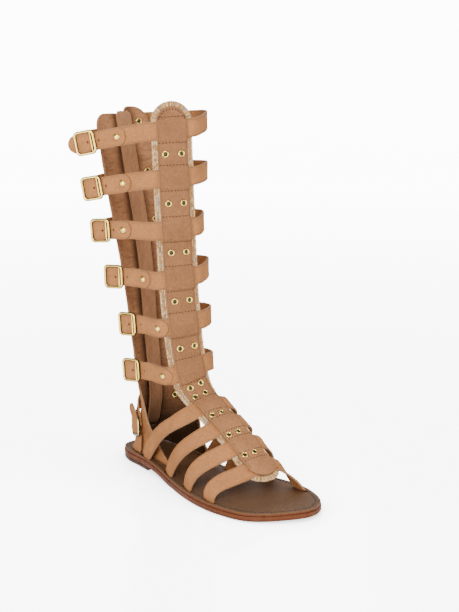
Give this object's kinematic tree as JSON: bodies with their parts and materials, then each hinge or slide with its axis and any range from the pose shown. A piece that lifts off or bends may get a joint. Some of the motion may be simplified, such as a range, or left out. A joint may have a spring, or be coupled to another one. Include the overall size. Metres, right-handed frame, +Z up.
{
  "type": "tall gladiator sandal",
  "caption": "Tall flat gladiator sandal for the right foot: leather straps joined to a woven-edged front strip, buckled on the outer side, with a zipped back.",
  "frame": {"origin": "on the floor plane, under the middle of the box round the sandal", "axes": "+Z up the shaft, -Y towards the toe, -X towards the outer side of the right foot"},
  "size_m": [0.1308, 0.256, 0.3418],
  "materials": {
    "leather": "tan nubuck, matt, with a soft nap",
    "panel_leather": "brown suede lining side, matt",
    "footbed": "smooth taupe-brown footbed leather, satin",
    "outsole": "reddish-brown edge, satin",
    "heel_rubber": "dark heel lift, matt",
    "woven_trim": "cream woven trim with metallic flecks",
    "hardware": "polished pale gold",
    "zip_tape": "woven brown zip tape"
  },
  "bodies": {
    "sandal": {"heel_lift": "heel_rubber", "outsole": "outsole", "footbed": "footbed", "upper": "leather", "strip_overlay": "leather", "back_panel_lateral": "panel_leather", "back_panel_medial": "panel_leather", "heel_strap": "leather", "zip": "zip_tape", "zip_guard": "leather", "zip_slider": "hardware", "buckle_1": "hardware", "buckle_2": "hardware", "buckle_3": "hardware", "buckle_4": "hardware", "buckle_5": "hardware", "buckle_6": "hardware", "buckle_7": "hardware", "strap_rivet_1": "hardware", "strap_rivet_2": "hardware", "strap_rivet_3": "hardware", "strap_rivet_4": "hardware", "strap_rivet_5": "hardware", "strap_rivet_6": "hardware", "strip_rivet_1a": "hardware", "strip_rivet_1b": "hardware", "strip_rivet_2a": "hardware", "strip_rivet_2b": "hardware", "strip_rivet_3a": "hardware", "strip_rivet_3b": "hardware", "strip_rivet_4a": "hardware", "strip_rivet_4b": "hardware", "strip_rivet_5a": "hardware", "strip_rivet_5b": "hardware", "strip_rivet_6a": "hardware", "strip_rivet_6b": "hardware", "strip_rivet_7a": "hardware", "strip_rivet_7b": "hardware", "strip_rivet_8a": "hardware", "strip_rivet_8b": "hardware", "strip_rivet_9a": "hardware", "strip_rivet_9b": "hardware", "strip_rivet_10a": "hardware", "strip_rivet_10b": "hardware"},
    "pull": {"zip_pull": "hardware"}
  },
  "joints": [
    {"name": "zip_pull_swing", "type": "hinge", "parent": "sandal", "child": "pull", "pos_m": [0.00332, 0.12596, 0.30545], "axis": [0.9958, 0, 0.0914], "range_deg": [-5, 165]}
  ]
}
